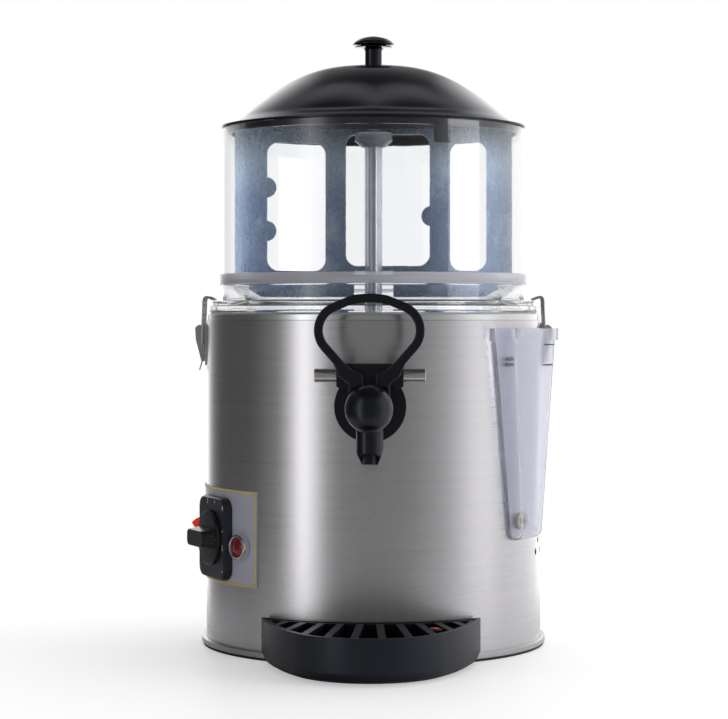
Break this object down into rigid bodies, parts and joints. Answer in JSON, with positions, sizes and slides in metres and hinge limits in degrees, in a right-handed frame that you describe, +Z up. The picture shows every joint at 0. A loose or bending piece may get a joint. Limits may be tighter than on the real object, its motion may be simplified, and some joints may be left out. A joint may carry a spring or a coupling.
{
  "type": "hot chocolate dispenser machine",
  "caption": "Counter-top hot drink dispenser: a clear jar with a turning paddle over a heated water bath, a lever tap, a drip tray, side catches and a fill tank.",
  "frame": {"origin": "on the counter, on the axis of the round body", "axes": "+Z up along the axis of the body, -Y to the front where the tap is, +X to the side of the water tank"},
  "size_m": [0.2833, 0.369, 0.4721],
  "materials": {
    "body_steel": "vertical satin sheet with a fine round-the-body grain",
    "base_steel": "satin pressed sheet",
    "collar_steel": "bright spun steel",
    "bath_steel": "satin spun steel",
    "catch_steel": "polished pressed steel",
    "wire_steel": "bright drawn wire",
    "paddle_steel": "fine brushed sheet",
    "shaft_steel": "turned bar",
    "rod_steel": "ground bar with lengthwise grain",
    "jar_clear": "clear polycarbonate",
    "tank_frosted": "frosted clear plastic",
    "lid_black": "glossy moulded black",
    "tap_black": "satin moulded black",
    "tray_black": "matt moulded black",
    "control_black": "fine-textured moulded black",
    "plate_silver": "printed satin sheet with a yellow edge line",
    "lamp_chrome": "bright plated",
    "lamp_red": "clear red, lit from behind",
    "float_red": "glossy red",
    "hub_grey": "grey translucent moulding",
    "seal_rubber": "pale silicone",
    "foot_rubber": "black rubber",
    "pipe_plastic": "translucent brown-grey hose and fitting",
    "thermostat_plastic": "moulded housing",
    "bulb_copper": "drawn copper",
    "gear_alloy": "cast housing",
    "motor_paint": "satin paint",
    "bracket_steel": "bent sheet",
    "heater_steel": "heat-tinted tube",
    "spring_steel": "drawn wire"
  },
  "bodies": {
    "housing": {"outer_shell": "body_steel", "base_plate": "base_steel", "foot_ring": "foot_rubber", "top_collar": "collar_steel", "bath_pan": "bath_steel", "heating_element": "heater_steel", "jar_gasket": "seal_rubber", "jar": "jar_clear", "jar_bowl": "jar_clear", "jar_column": "jar_clear", "gearbox": "gear_alloy", "motor": "motor_paint", "motor_bracket": "bracket_steel", "thermostat_body": "thermostat_plastic", "thermostat_bulb": "bulb_copper", "safety_cutout": "control_black", "control_plate": "plate_silver", "thermostat_bezel": "control_black", "lamp_bezel": "lamp_chrome", "lamp_lens": "lamp_red", "switch_frame": "control_black", "water_tank": "tank_frosted", "tank_clip": "control_black", "tank_pipe": "pipe_plastic", "cable_gland": "control_black", "gland_nut": "control_black", "tap_flange": "tap_black", "tap_nut": "tap_black", "tap_body": "tap_black", "tap_seal": "seal_rubber", "tap_cap": "tap_black", "tray_tongue": "base_steel", "left_catch_base": "base_steel", "right_catch_base": "base_steel", "piston_spring": "spring_steel"},
    "lid": {"lid_shell": "lid_black", "lid_knob": "lid_black", "knob_washer": "lid_black"},
    "paddle": {"paddle_blade": "paddle_steel", "paddle_hub": "hub_grey", "drive_shaft": "shaft_steel"},
    "tap_handle": {"tap_lever": "tap_black"},
    "piston": {"tap_piston": "shaft_steel", "piston_seal": "seal_rubber", "piston_pin": "shaft_steel"},
    "rod": {"locking_rod": "rod_steel"},
    "left_catch": {"left_catch_lever": "catch_steel"},
    "left_hook": {"left_bail": "wire_steel"},
    "right_catch": {"right_catch_lever": "catch_steel"},
    "right_hook": {"right_bail": "wire_steel"},
    "dial": {"thermostat_knob": "control_black", "thermostat_spindle": "shaft_steel"},
    "rocker": {"switch_rocker": "lamp_red"},
    "tray": {"drip_tray": "tray_black"},
    "grille": {"tray_grille": "tray_black"},
    "float": {"tray_float": "float_red"}
  },
  "joints": [
    {"name": "lid_lift", "type": "slide", "parent": "housing", "child": "lid", "axis": [0, 0, 1], "range_m": [0, 0.12]},
    {"name": "paddle_turn", "type": "hinge", "parent": "housing", "child": "paddle", "pos_m": [0, 0, 0.12], "axis": [0, 0, 1], "continuous": true},
    {"name": "tap_pull", "type": "hinge", "parent": "housing", "child": "tap_handle", "pos_m": [0, -0.168, 0.182], "axis": [1, 0, 0], "range_deg": [0, 20], "stiffness_Nm_per_rad": 0.3, "springref_deg": -22.92},
    {"name": "piston_travel", "type": "slide", "parent": "housing", "child": "piston", "axis": [0, -1, 0], "range_m": [0, 0.003], "deforming": ["piston_spring"]},
    {"name": "rod_withdraw", "type": "slide", "parent": "housing", "child": "rod", "axis": [1, 0, 0], "range_m": [0, 0.09]},
    {"name": "left_catch_open", "type": "hinge", "parent": "housing", "child": "left_catch", "pos_m": [-0.1352, 0, 0.243], "axis": [0, 1, 0], "range_deg": [0, 80]},
    {"name": "left_hook_swing", "type": "hinge", "parent": "left_catch", "child": "left_hook", "pos_m": [-0.1336, 0, 0.23], "axis": [0, 1, 0], "range_deg": [-80, 0]},
    {"name": "right_catch_open", "type": "hinge", "parent": "housing", "child": "right_catch", "pos_m": [0.1352, 0, 0.243], "axis": [0, -1, 0], "range_deg": [0, 80]},
    {"name": "right_hook_swing", "type": "hinge", "parent": "right_catch", "child": "right_hook", "pos_m": [0.1336, 0, 0.23], "axis": [0, -1, 0], "range_deg": [-80, 0]},
    {"name": "dial_turn", "type": "hinge", "parent": "housing", "child": "dial", "pos_m": [-0.12224, -0.05962, 0.086], "axis": [-0.8988, -0.4384, 0], "range_deg": [0, 270]},
    {"name": "switch_rock", "type": "hinge", "parent": "housing", "child": "rocker", "pos_m": [-0.13167, -0.0069, 0.086], "axis": [-0.0523, 0.9986, 0], "range_deg": [0, 16]},
    {"name": "tray_pull", "type": "slide", "parent": "housing", "child": "tray", "axis": [0, -1, 0], "range_m": [0, 0.1]},
    {"name": "grille_lift", "type": "slide", "parent": "tray", "child": "grille", "axis": [0, 0, 1], "range_m": [0, 0.05]},
    {"name": "float_rise", "type": "slide", "parent": "tray", "child": "float", "axis": [0, 0, 1], "range_m": [0, 0.007]}
  ],
  "couplings": [
    {"joint": "piston_travel", "follows": "tap_pull", "m_per_rad": 0.008342},
    {"joint": "left_hook_swing", "follows": "left_catch_open", "ratio": -1},
    {"joint": "right_hook_swing", "follows": "right_catch_open", "ratio": -1}
  ]
}
